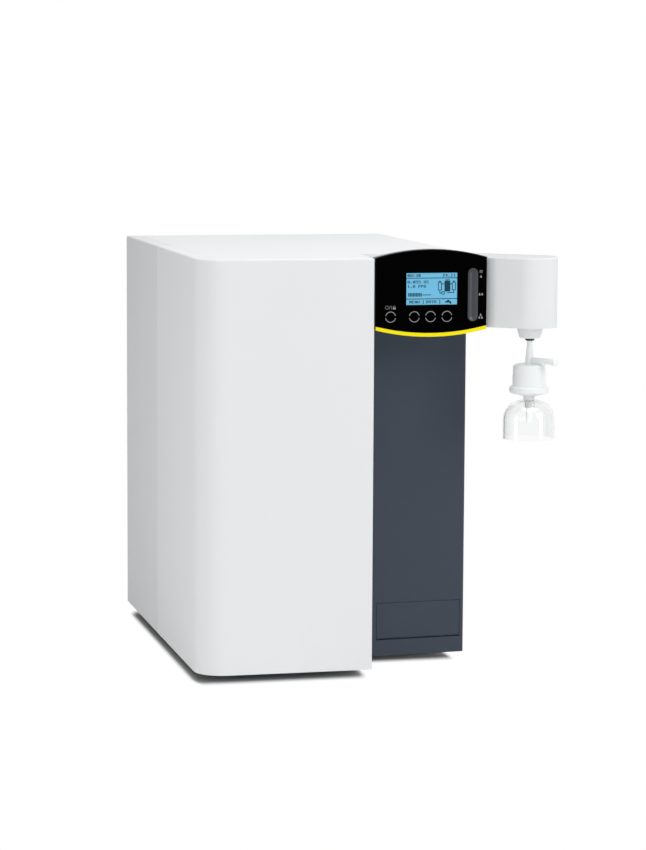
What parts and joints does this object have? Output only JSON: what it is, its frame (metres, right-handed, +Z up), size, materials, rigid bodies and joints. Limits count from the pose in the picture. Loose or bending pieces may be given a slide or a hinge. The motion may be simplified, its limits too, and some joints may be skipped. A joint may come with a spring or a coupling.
{
  "type": "ultrapure water system",
  "caption": "Bench ultrapure water system: white block housing with a set-back slate column, arched touch display and a side arm that carries a dispensing filter and bell.",
  "frame": {"origin": "on the bench under the middle of the whole machine", "axes": "+X to the machine's right as seen from the front, +Y to the rear, +Z up"},
  "size_m": [0.461, 0.5836, 0.5444],
  "materials": {
    "white_shell": "satin moulded plastic",
    "slate_plastic": "satin moulded plastic",
    "grey_plastic": "satin",
    "blue_plastic": "satin",
    "black_plastic": "fine grain",
    "black_glass": "polished front glass",
    "yellow_strip": "satin",
    "screen": "backlit display face",
    "silver_plastic": "satin metallic lacquer",
    "circuit_board": "solder mask",
    "sheet_steel": "zinc plated sheet",
    "bright_steel": "brushed",
    "rubber": "moulded rubber",
    "white_capsule": "moulded polypropylene",
    "white_membrane": "pleated membrane",
    "clear_plastic": "clear moulding",
    "hose": "natural tube",
    "quartz": "clear quartz",
    "motor_paint": "enamel"
  },
  "bodies": {
    "housing": {"accent_strip": "yellow_strip", "base_tray": "sheet_steel", "case_screws": "bright_steel", "centre_bulkhead": "sheet_steel", "column_fascia": "slate_plastic", "conductivity_cells": "bright_steel", "cover_studs": "bright_steel", "data_socket": "black_plastic", "dispense_hose": "hose", "dispense_valve": "black_plastic", "display_glass": "black_glass", "display_hood": "black_plastic", "docking_head": "white_capsule", "fan_frame": "black_plastic", "fan_guard": "bright_steel", "flow_groove": "silver_plastic", "head_housing": "white_shell", "head_plate": "white_shell", "lcd_module": "screen", "left_post": "sheet_steel", "left_rear_panel": "white_shell", "main_board": "circuit_board", "mains_inlet": "black_plastic", "nozzle_collar": "white_shell", "nozzle_insert": "black_plastic", "power_supply": "sheet_steel", "power_switch": "black_plastic", "pressure_regulator": "grey_plastic", "pump_cradle": "rubber", "pump_head": "black_plastic", "pump_motor": "motor_paint", "rear_panel": "sheet_steel", "right_panel": "white_shell", "ro_module": "white_capsule", "rubber_feet": "rubber", "sanitising_port": "grey_plastic", "service_niche": "grey_plastic", "solenoids": "black_plastic", "top_panel": "white_shell", "touch_board": "circuit_board", "uv_lamp": "quartz", "uv_reactor": "bright_steel", "valve_block": "white_capsule", "vessel_clips": "white_capsule", "water_fittings": "black_plastic", "water_tubing": "hose"},
    "front_cover": {"front_cover": "white_shell"},
    "flap": {"service_flap": "slate_plastic"},
    "port_plug": {"sanitising_plug": "blue_plastic"},
    "final_filter": {"filter_upper": "white_capsule", "filter_lower": "white_capsule", "filter_pleats": "white_membrane"},
    "bell": {"dispense_bell": "clear_plastic"},
    "vent": {"vent_cap": "white_capsule"},
    "left_cartridge": {"cartridge_left": "white_capsule"},
    "right_cartridge": {"cartridge_right": "white_capsule"},
    "fan": {"fan_rotor": "black_plastic"},
    "rocker": {"switch_rocker": "black_plastic"},
    "fuse_tray": {"fuse_drawer": "black_plastic"}
  },
  "joints": [
    {"name": "cover_pull", "type": "slide", "parent": "housing", "child": "front_cover", "axis": [0, -1, 0], "range_m": [0, 0.15]},
    {"name": "flap_hinge", "type": "hinge", "parent": "housing", "child": "flap", "pos_m": [0.0183, -0.17788, 0.0385], "axis": [0.9976, 0.0688, 0], "range_deg": [0, 90]},
    {"name": "plug_turn", "type": "hinge", "parent": "housing", "child": "port_plug", "pos_m": [0.05844, -0.17862, 0.05875], "axis": [-0.0688, 0.9976, 0], "range_deg": [0, 90]},
    {"name": "filter_pull", "type": "slide", "parent": "housing", "child": "final_filter", "axis": [0, 0, -1], "range_m": [0, 0.013]},
    {"name": "bell_pull", "type": "slide", "parent": "final_filter", "child": "bell", "axis": [0, 0, -1], "range_m": [0, 0.027]},
    {"name": "vent_turn", "type": "hinge", "parent": "final_filter", "child": "vent", "pos_m": [0.1965, -0.25616, 0.4025], "axis": [0.6018, -0.7986, 0], "range_deg": [0, 90]},
    {"name": "left_cartridge_turn", "type": "hinge", "parent": "housing", "child": "left_cartridge", "pos_m": [-0.1585, -0.11317, 0], "axis": [0, 0, 1], "range_deg": [0, 60]},
    {"name": "right_cartridge_turn", "type": "hinge", "parent": "housing", "child": "right_cartridge", "pos_m": [-0.0625, -0.11317, 0], "axis": [0, 0, 1], "range_deg": [0, 60]},
    {"name": "fan_spin", "type": "hinge", "parent": "housing", "child": "fan", "pos_m": [0.061, 0.24483, 0.44], "axis": [0, 1, 0], "continuous": true},
    {"name": "rocker_tilt", "type": "hinge", "parent": "housing", "child": "rocker", "pos_m": [0.0395, 0.26483, 0.084], "axis": [1, 0, 0], "range_deg": [0, 16]},
    {"name": "fuse_pull", "type": "slide", "parent": "housing", "child": "fuse_tray", "axis": [0, 1, 0], "range_m": [0, 0.015]}
  ]
}
